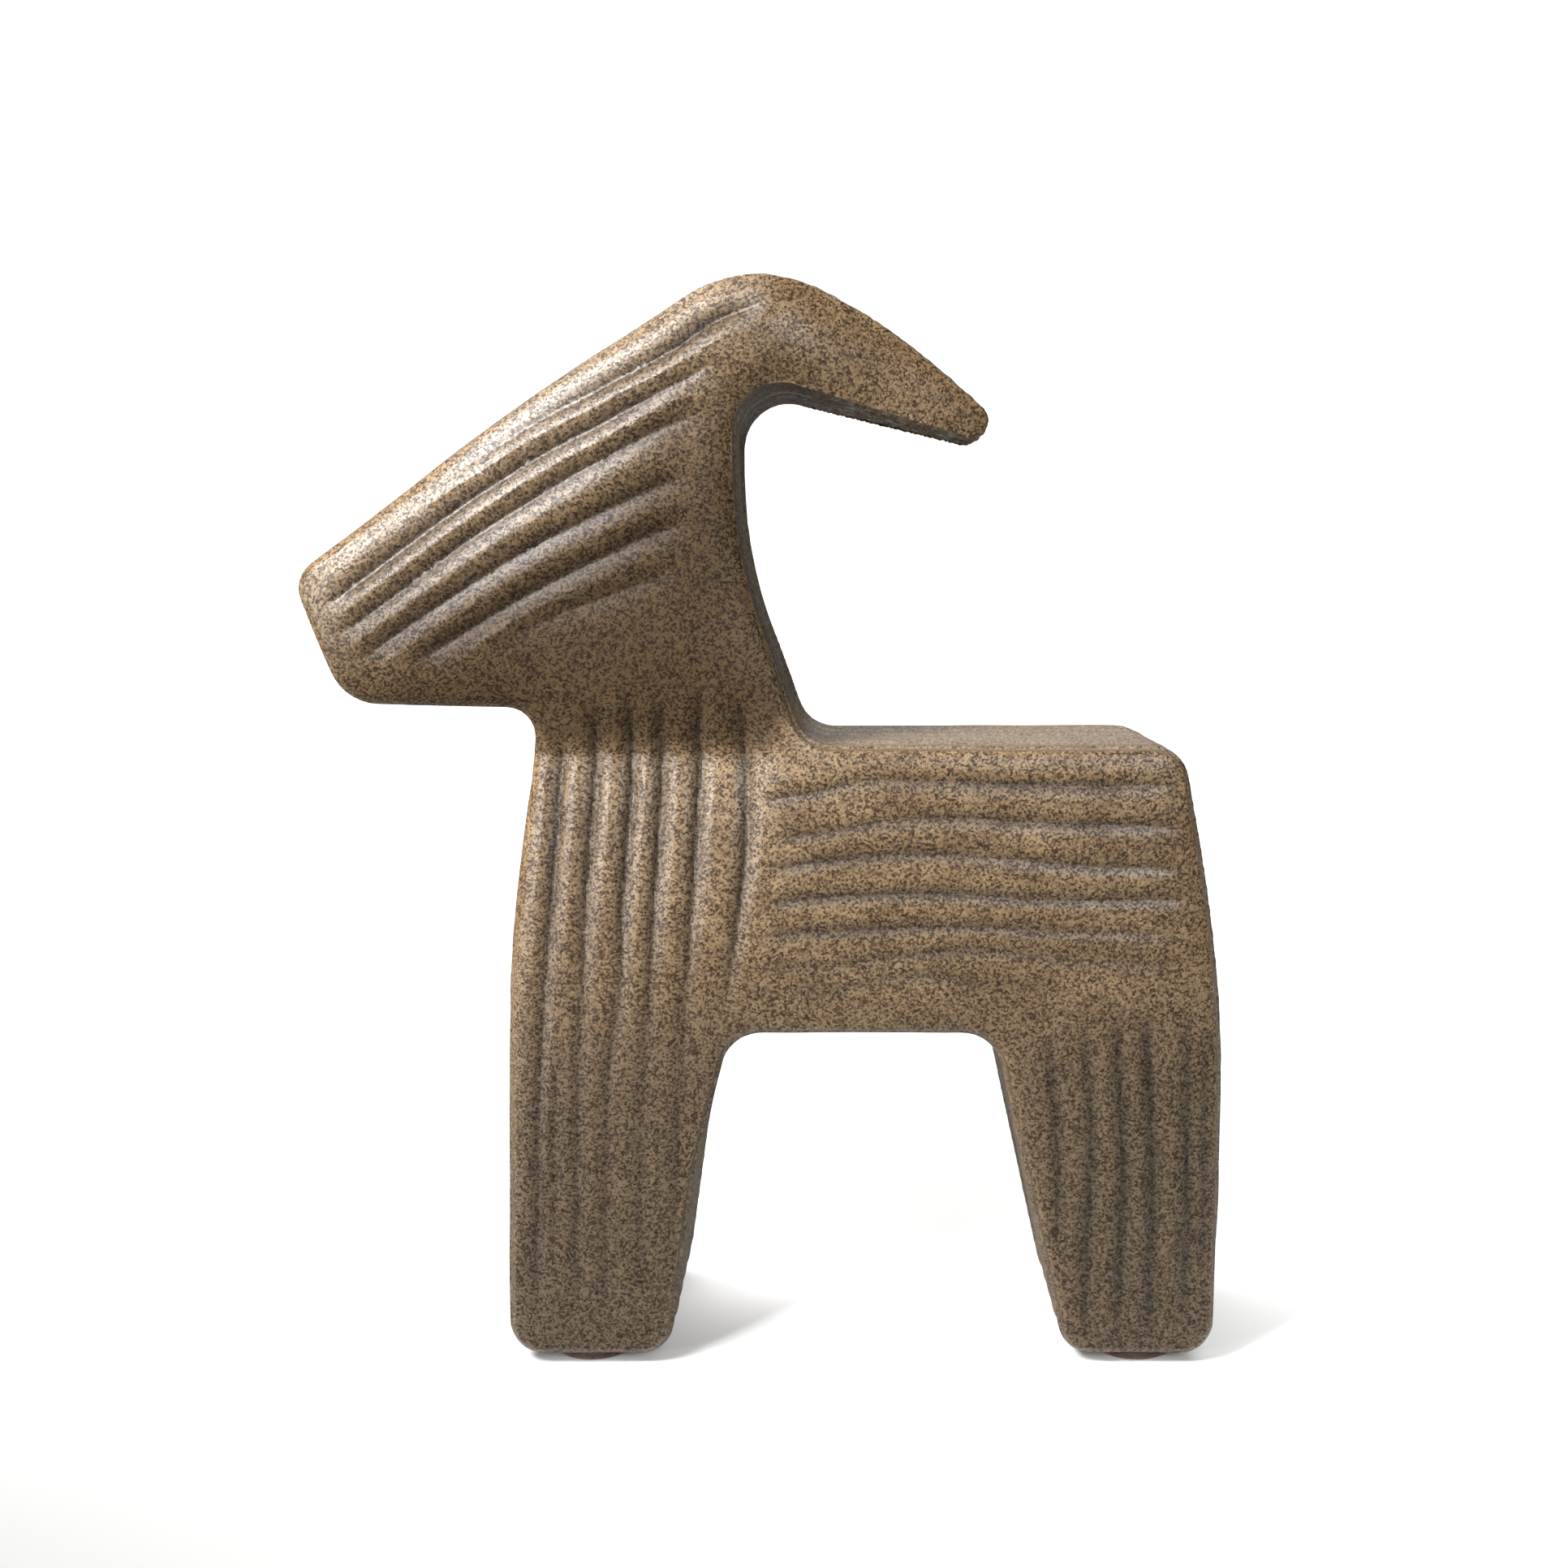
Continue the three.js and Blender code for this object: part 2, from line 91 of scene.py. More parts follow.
class Wire:
    """An output socket of a node tree, usable in sums."""

    def __init__(self, socket):
        self.socket = socket
        self.tree = socket.id_data

    @staticmethod
    def pick(sockets, name):
        """A socket by number, or the first one in use with that name."""
        if isinstance(name, int):
            return sockets[name]
        return next(socket for socket in sockets if socket.enabled and socket.name == name)

    @classmethod
    def node(cls, tree, kind, settings=None, sockets=None, output=0):
        """Adds a node of that kind and returns one of its outputs."""
        made = tree.nodes.new(kind)
        for name, value in (settings or {}).items():
            setattr(made, name, value)
        for name, value in (sockets or {}).items():
            for one in value if isinstance(value, list) else [value]:
                cls.feed(cls.pick(made.inputs, name), one)
        return cls(cls.pick(made.outputs, output))

    @staticmethod
    def feed(socket, value):
        """Links a wire to an input socket, or sets the socket to a plain value."""
        if isinstance(value, Wire):
            value.tree.links.new(value.socket, socket)
        else:
            socket.default_value = value

    def math(self, operation, *others):
        """A Math node on this wire and the other values."""
        sockets = dict(enumerate((self, *others)))
        return Wire.node(self.tree, "ShaderNodeMath", {"operation": operation}, sockets)

    def __add__(self, other):
        return self.math("ADD", other)

    def __radd__(self, other):
        return self.math("ADD", other)

    def __sub__(self, other):
        return self.math("SUBTRACT", other)

    def __rsub__(self, other):
        return (self * -1) + other

    def __mul__(self, other):
        return self.math("MULTIPLY", other)

    def __truediv__(self, other):
        return self.math("DIVIDE", other)

    def bell(self):
        """1 where the value is 0, falling off to both sides."""
        return (self * self * -1).math("EXPONENT")

    def rise(self, low, high):
        """0 below low, 1 above high, with a soft step between them."""
        settings = {"interpolation_type": "SMOOTHSTEP"}
        sockets = {"Value": self, "From Min": low, "From Max": high}
        return Wire.node(self.tree, "ShaderNodeMapRange", settings, sockets)

    def times_vector(self, vector):
        """A vector scaled by this value."""
        sockets = {0: vector, "Scale": self}
        return Wire.node(self.tree, "ShaderNodeVectorMath", {"operation": "SCALE"}, sockets)


print("wires ready")

# %% [markdown]
# The potter combs the goat after it is joined, so the teeth run over the joints. The script works
# the same way round: it first makes one closed skin over all the clay. The two side slabs lose
# their hidden inner caps, a bridge spans the wall between them, and the horn is joined on. A voxel
# remesh then covers the skin with small even faces that a comb can press into, which long CAD
# triangles can't take.

# %% One skin over the clay
VOXEL = 0.7 * MM
SMOOTHING_ROUNDS = 6
TOUCHING = 0.001 * MM


def merged(node):
    """A CAD node's mesh as a BMesh with its shared corners merged."""
    clay = bmesh.new()
    clay.from_mesh(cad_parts[node].data)
    bmesh.ops.remove_doubles(clay, verts=clay.verts, dist=TOUCHING)
    return clay


def as_object(name, clay):
    mesh = bpy.data.meshes.new(name)
    clay.to_mesh(mesh)
    clay.free()
    made = bpy.data.objects.new(name, mesh)
    bpy.context.scene.collection.objects.link(made)
    return made


def bake_modifiers(piece):
    """Replaces a piece's mesh by what its modifiers make of it."""
    graph = bpy.context.evaluated_depsgraph_get()
    baked = bpy.data.meshes.new_from_object(piece.evaluated_get(graph))
    piece.modifiers.clear()
    piece.data = baked


def open_slab(node, inner_plane):
    """A side slab without the cap on its inner plane."""
    slab = merged(node)
    cap = [face for face in slab.faces if all(abs(v.co.y - inner_plane) < TOUCHING for v in face.verts)]
    bmesh.ops.delete(slab, geom=cap, context="FACES")
    return as_object(node + "_open", slab)


def boolean(piece, operation, other):
    cut = piece.modifiers.new(operation, "BOOLEAN")
    cut.operation = operation
    cut.object = other
    cut.solver = "MANIFOLD"
    bake_modifiers(piece)


def clay_skin():
    left = open_slab("left_side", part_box("left_side")[1].y)
    right = open_slab("right_side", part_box("right_side")[0].y)
    shell = bmesh.new()
    for slab in (left, right):
        shell.from_mesh(slab.data)
        bpy.data.objects.remove(slab)
    bmesh.ops.bridge_loops(shell, edges=[edge for edge in shell.edges if edge.is_boundary])
    bmesh.ops.recalc_face_normals(shell, faces=shell.faces)
    whole = as_object("skin", shell)
    horn = as_object("horn_copy", merged("horn"))
    boolean(whole, "UNION", horn)
    bpy.data.objects.remove(horn)
    remesh = whole.modifiers.new("even faces", "REMESH")
    remesh.mode = "VOXEL"
    remesh.voxel_size = VOXEL
    smooth = whole.modifiers.new("smooth", "SMOOTH")
    smooth.iterations = SMOOTHING_ROUNDS
    bake_modifiers(whole)
    return whole


skin = clay_skin()
print("skin faces:", len(skin.data.polygons))

# %% [markdown]
# The comb strokes are drawn on the flank, as on the real goat: they fan over the head, run down the
# neck and the legs, and cross the flank in slow waves. Each stroke is a short list of points with
# the place along the goat, the height and the pressure of the hand. They become one curve object
# whose point radius carries the pressure. Drawn strokes keep the unevenness that a repeated pattern
# would lose.

# %% The comb strokes
HEAD_STROKES = [
    [(-70, 189, 0.1), (-50, 201.5, 0.5), (-35, 209.5, 0.8), (-20, 217.5, 1), (-10, 224, 1), (3, 228, 0.3)],
    [(-94, 163, 0.8), (-85, 170, 1), (-70, 181, 1), (-50, 194, 1), (-30, 204.5, 1), (-8, 216, 0.6)],
    [(-91, 157, 0.7), (-80, 165, 1), (-60, 179.5, 1), (-40, 191.5, 1), (-25, 199.5, 1), (-10, 206, 0.6)],
    [(-87, 152, 0.5), (-75, 160, 1), (-55, 173, 1), (-40, 181, 1), (-27, 187, 1), (-13, 193, 0.5)],
    [(-77, 151, 0.5), (-65, 157.5, 1), (-50, 166.5, 1), (-35, 174, 1), (-24, 179, 1), (-13, 182.5, 0.5)],
    [(-58, 154.5, 0.2), (-45, 162, 0.5), (-30, 167.5, 0.6), (-15, 174, 0.4)],
]
NECK_STROKES = [
    [(-43, 139, 0.6), (-44, 126, 1), (-45.3, 103, 1), (-47, 85, 0.7), (-49, 56, 0.7), (-50, 10, 0.5)],
    [(-35.5, 148, 0.6), (-36.3, 128, 1), (-37.8, 105, 1), (-39, 84, 0.6), (-40.3, 60, 0.5), (-41.5, 10, 0.4)],
    [(-28.3, 148, 0.6), (-28.3, 130, 1), (-30, 105, 1), (-31, 84, 0.6), (-34, 58, 0.5), (-35, 10, 0.4)],
    [(-21.6, 148, 0.6), (-22, 128, 1), (-23.2, 105, 1), (-24.5, 84, 0.6), (-26.5, 52, 0.4), (-27.5, 12, 0.3)],
    [(-13.5, 150, 0.6), (-14, 128, 1), (-15.3, 103, 0.9), (-17, 80, 0.5), (-18.8, 50, 0.4), (-20, 22, 0.2)],
    [(-5, 148, 0.7), (-4.3, 128, 1), (-4.3, 112, 1), (-6, 97, 0.8), (-9, 76, 0.4)],
    [(-44, 74, 0.2), (-45.5, 52, 0.4), (-46, 22, 0.3)],
]
FLANK_STROKES = [
    [(-2, 124, 0.9), (10, 125.5, 0.9), (22, 128, 0.6), (40, 127.5, 0.7), (62, 126.9, 1), (88, 127, 0.8)],
    [(-1, 115.3, 0.8), (12, 117, 0.8), (25, 119.3, 0.7), (40, 120, 0.9), (62, 118.8, 1), (90, 118, 0.8)],
    [(-2, 108.6, 0.9), (12, 110.8, 1), (28, 112.4, 0.9), (45, 112, 0.8), (66, 110, 0.9), (91, 109, 0.7)],
    [(-3, 101.2, 0.9), (10, 103, 1), (38, 104, 1), (60, 102.7, 0.9), (93, 102.5, 0.8)],
    [(-3, 94.6, 0.8), (13, 95.8, 1), (40, 96.8, 0.9), (62, 96, 0.7), (90, 95, 0.5)],
    [(-4, 88.4, 0.6), (15, 88.5, 0.6), (40, 91.6, 0.8), (64, 90, 0.5), (88, 88, 0.4)],
    [(-5, 82.6, 0.4), (14, 83, 0.4), (31, 86.3, 0.7), (48, 84.5, 0.4), (68, 83.5, 0.3)],
]
HIND_LEG_STROKES = [
    [(60.3, 76, 0.6), (62, 58, 0.9), (63, 44, 0.9), (63, 22, 0.4)],
    [(68, 78, 0.6), (70, 52, 0.9), (69.5, 30, 0.9), (68.8, 5, 0.8)],
    [(74.6, 80, 0.8), (76.5, 52, 1), (77, 36, 1), (76, 5, 0.9)],
    [(81, 80, 0.9), (83, 52, 1), (83.3, 32, 1), (83, 4, 0.9)],
    [(90.5, 80, 0.5), (90.7, 50, 0.8), (91, 34, 0.9), (90.5, 8, 0.6)],
    [(95, 77, 0.4), (94.7, 50, 0.5), (94.5, 18, 0.4)],
]


def stroke_curves(name, strokes):
    """Strokes as one curve object in the goat's middle plane, with the pressure as radius."""
    data = bpy.data.curves.new(name, "CURVE")
    data.dimensions = "3D"
    for stroke in strokes:
        line = data.splines.new("POLY")
        line.points.add(len(stroke) - 1)
        for point, (place, height, pressure) in zip(line.points, stroke):
            point.co = (place * MM, 0, height * MM, 1)
            point.radius = pressure
    made = bpy.data.objects.new(name, data)
    bpy.context.scene.collection.objects.link(made)
    return made


combed_areas = {
    "head": (HEAD_STROKES, 5.5 * MM, 1.6 * MM),
    "neck": (NECK_STROKES, 3.9 * MM, 1.5 * MM),
    "flank": (FLANK_STROKES, 3.3 * MM, 0.85 * MM),
    "hind_leg": (HIND_LEG_STROKES, 3.8 * MM, 1.1 * MM),
}
stroke_count = sum(len(strokes) for strokes, width, depth in combed_areas.values())
print("comb strokes on each flank:", stroke_count)

# %% [markdown]
# All Geometry Nodes trees of this lesson begin and end alike: named inputs at the start, and at the
# end Realize Instances and Set Material, because the export drops instances. A tree runs once on a
# piece and leaves a plain mesh. A live modifier would be easier to change later, but a piece has to
# be finished before it is handed to the frame.

# %% Helpers for the trees
NUMBER = "NodeSocketFloat"


def new_tree(name, inputs):
    """An empty Geometry Nodes tree with a Geometry input and the named inputs after it."""
    tree = bpy.data.node_groups.new(name, "GeometryNodeTree")
    tree.is_modifier = True
    tree.interface.new_socket("Geometry", in_out="OUTPUT", socket_type="NodeSocketGeometry")
    for label, kind in {"Geometry": "NodeSocketGeometry", **inputs}.items():
        tree.interface.new_socket(label, in_out="INPUT", socket_type=kind)
    entry = tree.nodes.new("NodeGroupInput")
    return tree, {label: Wire(entry.outputs[label]) for label in ("Geometry", *inputs)}


def end_tree(tree, geometry, material):
    """Realizes instances, sets the material and ends the tree."""
    whole = Wire.node(tree, "GeometryNodeRealizeInstances", sockets={"Geometry": geometry})
    dressed = Wire.node(
        tree, "GeometryNodeSetMaterial", sockets={"Geometry": whole, "Material": material}
    )
    tree.links.new(dressed.socket, tree.nodes.new("NodeGroupOutput").inputs[0])


def run_tree(piece, tree, values):
    """Runs a tree on a piece once and keeps the result as a plain mesh."""
    modifier = piece.modifiers.new(tree.name, "NODES")
    modifier.node_group = tree
    for item in tree.interface.items_tree:
        if item.in_out == "INPUT" and item.name in values:
            modifier[item.identifier] = values[item.name]
    bake_modifiers(piece)


def field(tree, kind, output=0):
    """What a Geometry Nodes input node knows about each point."""
    return Wire.node(tree, kind, output=output)


def vector_parts(tree, vector):
    """The three parts of a vector."""
    split = Wire.node(tree, "ShaderNodeSeparateXYZ", sockets={"Vector": vector}).socket.node
    return [Wire(split.outputs[axis]) for axis in "XYZ"]


def joined_vector(tree, x, y, z):
    return Wire.node(tree, "ShaderNodeCombineXYZ", sockets={"X": x, "Y": y, "Z": z})


def whole_object(tree, chosen):
    """The geometry of another object."""
    return Wire.node(tree, "GeometryNodeObjectInfo", sockets={"Object": chosen}, output="Geometry")


def stored(tree, name):
    """A named attribute of the points."""
    return Wire.node(tree, "GeometryNodeInputNamedAttribute", {"data_type": "FLOAT"}, {"Name": name})


def with_attribute(tree, geometry, name, value):
    """The geometry with a value stored on its points."""
    settings = {"data_type": "FLOAT", "domain": "POINT"}
    sockets = {"Geometry": geometry, "Name": name, "Value": value}
    return Wire.node(tree, "GeometryNodeStoreNamedAttribute", settings, sockets)


print("tree helpers ready")

# %% [markdown]
# Combing follows a path on a surface, which is what Geometry Nodes are good at. The tree lays the
# strokes on both flanks, bends them into smooth curves with a slight wobble and lets the pressure
# fade at their ends. Then every point of the skin asks how far the nearest stroke is and how hard
# it was pressed there, and moves inwards. The groove is a narrow valley whose walls flatten out
# like a parabola, so that two neighbours leave a rounded rib between them. The depth is also kept
# as an attribute, so that the glaze can pool in the grooves.

# %% The combing tree
# How squarely a face looks sideways where the comb begins to mark it, and where it marks it fully
FLAT_ENOUGH = (0.35, 0.8)


def laid_strokes(tree, given):
    """The strokes on both flanks as fine lines, with their pressure stored on the points."""
    drawn = whole_object(tree, given["Strokes"])
    flanks = []
    for side in (-1, 1):
        across = joined_vector(tree, 0.0, given["Half depth"] * side, 0.0)
        flanks.append(
            Wire.node(tree, "GeometryNodeTransform", sockets={"Geometry": drawn, "Translation": across})
        )
    both = Wire.node(tree, "GeometryNodeJoinGeometry", sockets={"Geometry": flanks})
    bent = Wire.node(
        tree, "GeometryNodeCurveSplineType", {"spline_type": "CATMULL_ROM"}, {"Curve": both}
    )
    fine = Wire.node(
        tree, "GeometryNodeResampleCurve", {"mode": "LENGTH"}, {"Curve": bent, "Length": given["Step"]}
    )
    noise = Wire.node(
        tree,
        "ShaderNodeTexNoise",
        sockets={"Vector": field(tree, "GeometryNodeInputPosition"), "Scale": given["Wobble scale"]},
        output="Color",
    )
    parts = [(part - 0.5) * given["Wobble"] for part in vector_parts(tree, noise)]
    shaken = Wire.node(
        tree,
        "GeometryNodeSetPosition",
        sockets={"Geometry": fine, "Offset": joined_vector(tree, parts[0], 0.0, parts[2])},
    )
    along = field(tree, "GeometryNodeSplineParameter", output="Length")
    whole = field(tree, "GeometryNodeSplineLength", output="Length")
    fade = along.rise(0.0, given["Fade"]) * (whole - along).rise(0.0, given["Fade"])
    pressed = with_attribute(tree, shaken, "pressure", fade * field(tree, "GeometryNodeInputRadius"))
    return Wire.node(tree, "GeometryNodeCurveToMesh", sockets={"Curve": pressed})


def groove_depth(tree, strokes, given):
    """How deep the nearest stroke presses each point: 1 in the middle of a full stroke."""
    x, y, z = vector_parts(tree, field(tree, "GeometryNodeInputPosition"))
    over_flank = joined_vector(tree, x, y.math("SIGN") * given["Half depth"], z)
    distance = Wire.node(
        tree,
        "GeometryNodeProximity",
        {"target_element": "EDGES"},
        {0: strokes, "Sample Position": over_flank},
        output="Distance",
    )
    nearest = Wire.node(
        tree,
        "GeometryNodeSampleNearest",
        {"domain": "POINT"},
        {"Geometry": strokes, "Sample Position": over_flank},
        output="Index",
    )
    pressure = Wire.node(
        tree,
        "GeometryNodeSampleIndex",
        {"data_type": "FLOAT", "domain": "POINT"},
        {"Geometry": strokes, "Value": stored(tree, "pressure"), "Index": nearest},
    )
    facing = vector_parts(tree, field(tree, "GeometryNodeInputNormal"))[1].math("ABSOLUTE")
    pressure = pressure * facing.rise(*FLAT_ENOUGH)
    near = (1 - distance / given["Width"]).math("MAXIMUM", 0.0)
    return pressure * near * near


COMB_INPUTS = {
    "Strokes": "NodeSocketObject",
    "Half depth": NUMBER,
    "Step": NUMBER,
    "Wobble": NUMBER,
    "Wobble scale": NUMBER,
    "Fade": NUMBER,
    "Width": NUMBER,
    "Depth": NUMBER,
}


def combing_tree(material):
    tree, given = new_tree("Combing", COMB_INPUTS)
    strokes = laid_strokes(tree, given)
    groove = groove_depth(tree, strokes, given)
    sink = groove * given["Depth"] * -1
    pressed = Wire.node(
        tree,
        "GeometryNodeSetPosition",
        sockets={
            "Geometry": given["Geometry"],
            "Offset": sink.times_vector(field(tree, "GeometryNodeInputNormal")),
        },
    )
    deepest = groove.math("MAXIMUM", stored(tree, "comb"))
    end_tree(tree, with_attribute(tree, pressed, "comb", deepest), material)
    return tree


print("combing tree ready")

# %% [markdown]
# Two lines on the goat steer much of what follows: the seat where the horn is luted onto the crown,
# and the line of the forehead. A distance from a line is a plain sum of products, so the same two
# functions serve the modelling trees here and the glaze further on. The alternative, painted vertex
# weights, would have to be painted again after every change of the clay.

# %% The seat and the forehead
SEAT_TOP = Vector((0.28, 0, 235)) * MM
SEAT_BOTTOM = Vector((8.28, 0, 209.35)) * MM
SEAT_MIDDLE = (SEAT_TOP + SEAT_BOTTOM) / 2
SEAT_NORMAL = (SEAT_BOTTOM - SEAT_TOP).cross(Vector((0, 1, 0))).normalized()
HORN_STARTS = (SEAT_BOTTOM.z - 40 * MM, SEAT_BOTTOM.z - 20 * MM)
MUZZLE = Vector((-99, 0, 172)) * MM
CROWN = Vector((-10, 0, 232)) * MM
FOREHEAD_WAY = (CROWN - MUZZLE).normalized()


def below_forehead(x, z):
    """How far a point lies below the line of the forehead."""
    return (x - MUZZLE.x) * FOREHEAD_WAY.z - (z - MUZZLE.z) * FOREHEAD_WAY.x


def past_seat(x, z):
    """How far a point lies past the horn's seat, towards the horn's tip."""
    return (x - SEAT_MIDDLE.x) * SEAT_NORMAL.x + (z - SEAT_MIDDLE.z) * SEAT_NORMAL.z


def at_horn(z):
    """1 at the height of the horn, 0 well below it."""
    return z.rise(*HORN_STARTS)


print("horn's seat:", round((SEAT_TOP - SEAT_BOTTOM).length / MM, 1), "mm long")

# %% [markdown]
# Before the comb comes the hand. Fingers have rubbed the flanks smooth and closed the corner where
# the horn sits on the crown, and thumbs have pressed the head thinner along the forehead and drawn
# a fold under the jaw. Rubbing is a Blur Attribute node on the positions, stronger where its weight
# is higher. The pressed places follow the lines of the last cell, with a share that runs out ever
# more gently, so that no edge shows where the thumb stopped. Sculpting would do the same by eye, but
# it couldn't be repeated on both flanks.

# %% Rubbing and thumbing
FLANK_BLUR_ROUNDS = 60
SEAT_BLUR_ROUNDS = 250
FLANK_FACING = (0.85, 0.95)
SEAT_FACING = (0.6, 0.9)
HEAD_STARTS = (150 * MM, 165 * MM)
FOREHEAD_ENDS = (-8 * MM, 12 * MM)
FOLD_ENDS = (-10 * MM, 8 * MM)


def blurred(tree, geometry, weight, rounds):
    """The geometry with its points drawn towards their neighbours, more where the weight is higher."""
    position = field(tree, "GeometryNodeInputPosition")
    sockets = {"Value": position, "Iterations": rounds, "Weight": weight}
    smoothed = Wire.node(tree, "GeometryNodeBlurAttribute", {"data_type": "FLOAT_VECTOR"}, sockets)
    moved = {"Geometry": geometry, "Position": smoothed}
    return Wire.node(tree, "GeometryNodeSetPosition", sockets=moved)


def rubbed_smooth(tree, given):
    """The skin without the facets of its flanks and without the corner at the horn's seat."""
    x, y, z = vector_parts(tree, field(tree, "GeometryNodeInputPosition"))
    facing = vector_parts(tree, field(tree, "GeometryNodeInputNormal"))[1].math("ABSOLUTE")
    flanks = blurred(tree, given["Geometry"], facing.rise(*FLANK_FACING), FLANK_BLUR_ROUNDS)
    near_seat = (past_seat(x, z) / given["Seat blend"]).bell() * at_horn(z)
    return blurred(tree, flanks, near_seat * facing.rise(*SEAT_FACING), SEAT_BLUR_ROUNDS)


def share_left(distance, reach):
    """1 at no distance, falling to 0 at the reach, ever more gently."""
    left = (1 - distance / reach).math("MINIMUM", 1.0).math("MAXIMUM", 0.0)
    return left * left


def thumbed_flank(given, x, z):
    """How far thumbs have pressed the flank in: along the forehead, and in a fold under the jaw."""
    forehead = share_left(below_forehead(x, z), given["Forehead reach"]) * (1 - x.rise(*FOREHEAD_ENDS))
    above_fold = share_left(z - given["Fold height"], given["Fold above"])
    below_fold = share_left(given["Fold height"] - z, given["Fold below"])
    fold = above_fold * below_fold * (1 - x.rise(*FOLD_ENDS))
    return forehead * z.rise(*HEAD_STARTS) * given["Forehead fall"] + fold * given["Fold depth"]


print("rubbing rounds:", FLANK_BLUR_ROUNDS, "on the flanks,", SEAT_BLUR_ROUNDS, "at the horn's seat")

# %% [markdown]
# The narrow faces carry a comb pattern of another kind: a broad comb was pulled along the outline,
# so its scallops run round the goat side by side and keep their distance from the middle plane. On
# the horn they draw together towards the tip. Such a rule is a formula, not a drawing: the depth
# depends only on how far a point lies from the middle plane, and on how squarely its face looks
# away from the flanks. The same tree draws the skin in a little, so that every later cut finds it
# inside the CAD solids, and gives it the uneven swell of a hand-smoothed slab. It leaves three marks
# for the glaze: the tracks of the comb's teeth, the crests between them, and the rounded edges.

# %% The wall comb tree
WALL_INPUTS = {
    "Half depth": NUMBER,
    "Pitch": NUMBER,
    "Depth": NUMBER,
    "Skin": NUMBER,
    "Swell": NUMBER,
    "Swell scale": NUMBER,
    "Forehead fall": NUMBER,
    "Forehead reach": NUMBER,
    "Fold depth": NUMBER,
    "Fold height": NUMBER,
    "Fold above": NUMBER,
    "Fold below": NUMBER,
    "Seat blend": NUMBER,
    "Horn length": NUMBER,
    "Horn taper": NUMBER,
    "Sole height": NUMBER,
}
TRACK_ROUNDNESS = 2.2
FLANK_STARTS = (0.3, 0.75)
EDGE_FACING = 0.55
EDGE_WIDTH = 0.4
FULL_ABOVE_SOLE = 3


def scallops(given, x, y, z):
    """Depth from 0 at a crest to 1 in the middle of a comb tooth's track."""
    share = (past_seat(x, z) / given["Horn length"]).math("MAXIMUM", 0.0)
    narrowing = 1 - at_horn(z) * share * given["Horn taper"]
    tracks = y / (narrowing * given["Pitch"])
    from_track = (tracks - tracks.math("ROUND")) * 2
    return 1 - from_track.math("ABSOLUTE").math("POWER", TRACK_ROUNDNESS)


def drawn_in(tree, clay, given, track):
    """The clay pressed in by the comb and the thumbs, and drawn in by the skin and its swell."""
    position = field(tree, "GeometryNodeInputPosition")
    x, y, z = vector_parts(tree, position)
    swell = {"Vector": position, "Scale": given["Swell scale"], "Detail": 1.0}
    noise = Wire.node(tree, "ShaderNodeTexNoise", sockets=swell)
    sink = track * given["Depth"] + given["Skin"] + noise * given["Swell"]
    pressed = (sink * -1).times_vector(field(tree, "GeometryNodeInputNormal"))
    thumbed = joined_vector(tree, 0.0, y * thumbed_flank(given, x, z) / given["Half depth"] * -1, 0.0)
    offset = Wire.node(tree, "ShaderNodeVectorMath", {"operation": "ADD"}, {0: thumbed, 1: pressed})
    return Wire.node(tree, "GeometryNodeSetPosition", sockets={"Geometry": clay, "Offset": offset})


def wall_tree(material):
    tree, given = new_tree("Wall comb", WALL_INPUTS)
    clay = rubbed_smooth(tree, given)
    x, y, z = vector_parts(tree, field(tree, "GeometryNodeInputPosition"))
    facing = vector_parts(tree, field(tree, "GeometryNodeInputNormal"))[1].math("ABSOLUTE")
    above_sole = z.rise(given["Sole height"], given["Sole height"] * FULL_ABOVE_SOLE)
    narrow_face = (1 - facing.rise(*FLANK_STARTS)) * above_sole
    track = scallops(given, x, y, z) * narrow_face
    edge = ((facing - EDGE_FACING) / EDGE_WIDTH).bell()
    marked = drawn_in(tree, clay, given, track)
    # the crest mark is where the glaze later paints a highlight
    for name, value in {"track": track, "crest": narrow_face - track, "edge": edge}.items():
        marked = with_attribute(tree, marked, name, value)
    end_tree(tree, marked, material)
    return tree


print("wall comb inputs:", len(WALL_INPUTS))

# %% [markdown]
# A few helpers keep the finishes short: a mix of two colours, a tint, two kinds of grain, a bump and
# the shader itself. Noise gives soft, cloudy grains. The cells of a Voronoi texture give hard ones,
# each with its own chance value, as ground minerals have. Both read Object coordinates, and because
# the goat stands in metres at the origin, a scale is simply a number of grains per metre.

# %% Helpers for the finishes


def new_material(name):
    material = bpy.data.materials.new(name)
    material.use_nodes = True
    material.node_tree.nodes.clear()
    return material, material.node_tree


def opaque(colour):
    return colour if isinstance(colour, Wire) else (*colour, 1)


def mixed(tree, share, first, second):
    """Two colours mixed by a share from 0 to 1."""
    sockets = {0: share, "A": opaque(first), "B": opaque(second)}
    return Wire.node(tree, "ShaderNodeMix", {"data_type": "RGBA"}, sockets, output="Result")


def tinted(tree, colour, tint):
    """A colour times a tint."""
    settings = {"data_type": "RGBA", "blend_type": "MULTIPLY"}
    sockets = {0: 1.0, "A": opaque(colour), "B": opaque(tint)}
    return Wire.node(tree, "ShaderNodeMix", settings, sockets, output="Result")


def noise_at(tree, place, scale, detail=2.0, roughness=0.5):
    """Noise in grains of a scale per metre."""
    sockets = {"Vector": place, "Scale": scale, "Detail": detail, "Roughness": roughness}
    return Wire.node(tree, "ShaderNodeTexNoise", sockets=sockets)


def cells_at(tree, place, scale):
    """A chance value from 0 to 1 for each cell of a scale per metre."""
    sockets = {"Vector": place, "Scale": scale}
    chance = Wire.node(tree, "ShaderNodeTexVoronoi", sockets=sockets, output="Color")
    return vector_parts(tree, chance)[0]


def attribute(tree, name):
    return Wire.node(tree, "ShaderNodeAttribute", {"attribute_name": name}, output="Fac")


